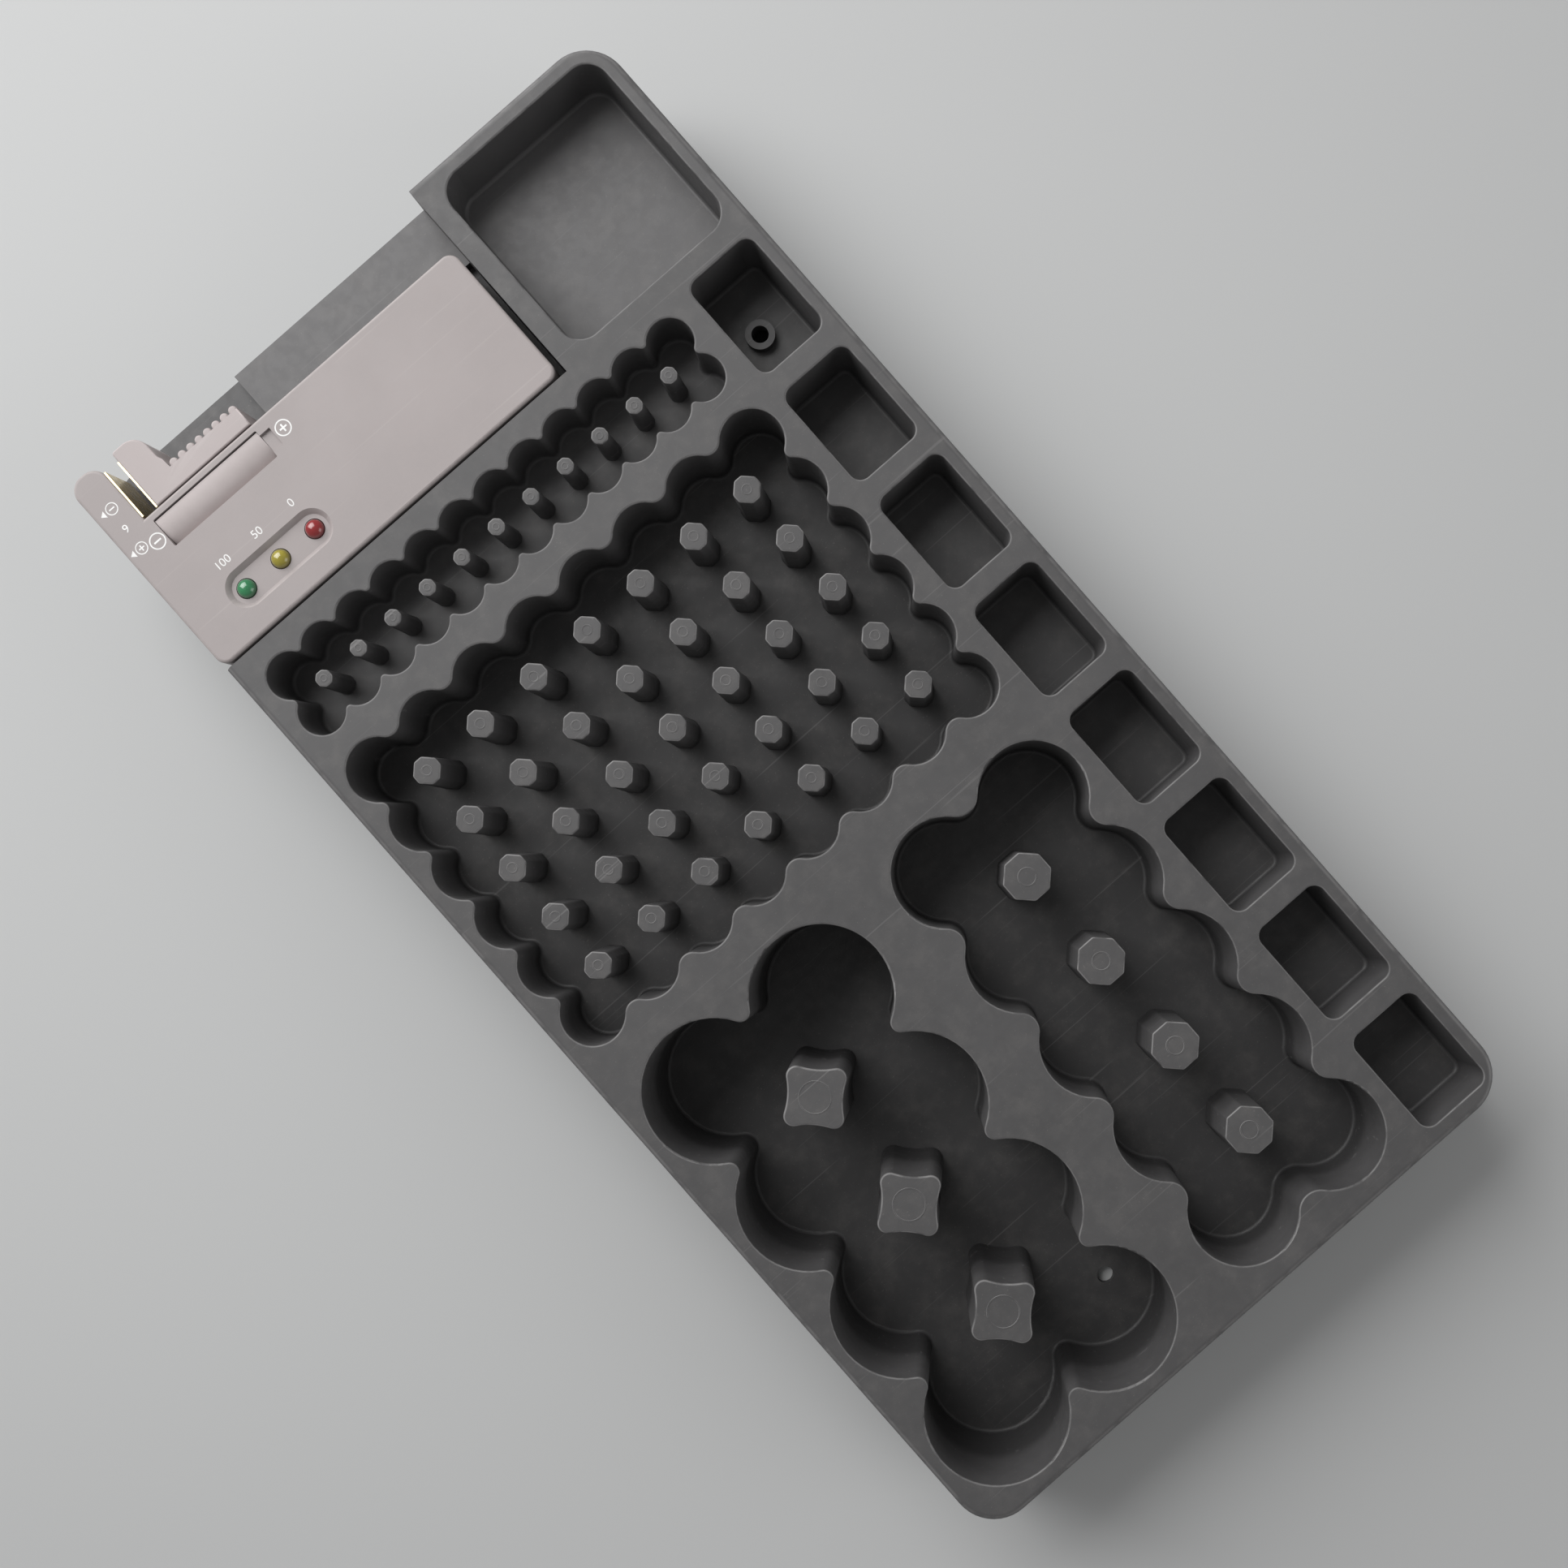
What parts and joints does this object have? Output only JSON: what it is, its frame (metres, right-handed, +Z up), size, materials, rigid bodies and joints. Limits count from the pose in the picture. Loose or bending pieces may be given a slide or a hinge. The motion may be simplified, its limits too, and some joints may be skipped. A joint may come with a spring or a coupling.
{
  "type": "battery tester",
  "caption": "Battery organiser tray with round wells, flat-cell pockets and a bin, holding a lift-out tester with lamps and a sprung slider that clamps a cell.",
  "frame": {"origin": "middle of the tray's base, on the surface it stands on", "axes": "+Y along the tray towards the tester and the bin, +X towards the flat-cell pockets, +Z up out of the wells"},
  "size_m": [0.1686, 0.3386, 0.0412],
  "materials": {
    "tray_plastic": "fine matt moulded grain",
    "case_plastic": "smooth satin moulding",
    "slider_plastic": "smooth satin moulding",
    "contact_brass": "stamped sheet",
    "screw_steel": "zinc plated",
    "board_laminate": "solder mask",
    "chip_plastic": "moulded epoxy",
    "ferrite": "sintered",
    "capacitor_can": "drawn can",
    "resistor_coat": "dipped coat",
    "green_lens": "tinted lens",
    "yellow_lens": "tinted lens",
    "red_lens": "tinted lens"
  },
  "bodies": {
    "tray": {"tray": "tray_plastic", "aa_pegs": "tray_plastic", "aaa_pegs": "tray_plastic", "c_pegs": "tray_plastic", "d_pegs": "tray_plastic"},
    "tester": {"tester_top_case": "case_plastic", "tester_back_cover": "case_plastic", "case_screws": "screw_steel", "circuit_board": "board_laminate", "board_screws": "screw_steel", "control_chip": "chip_plastic", "boost_coil": "ferrite", "smoothing_capacitor": "capacitor_can", "board_resistors": "chip_plastic", "load_resistor": "resistor_coat", "green_lamp": "green_lens", "yellow_lamp": "yellow_lens", "red_lamp": "red_lens", "fixed_contact": "contact_brass", "nine_volt_positive": "contact_brass", "nine_volt_negative": "contact_brass", "contact_rail": "contact_brass", "guide_rod": "screw_steel", "return_spring": "screw_steel"},
    "slider": {"slider": "slider_plastic", "slider_contact": "contact_brass", "slider_wiper": "contact_brass"}
  },
  "joints": [
    {"name": "tester_lift", "type": "slide", "parent": "tray", "child": "tester", "axis": [0, 0, 1], "range_m": [0, 0.04]},
    {"name": "slider_slide", "type": "slide", "parent": "tester", "child": "slider", "axis": [1, 0, 0], "range_m": [0, 0.059], "stiffness_N_per_m": 40, "springref_m": -0.02, "deforming": ["return_spring"]}
  ]
}
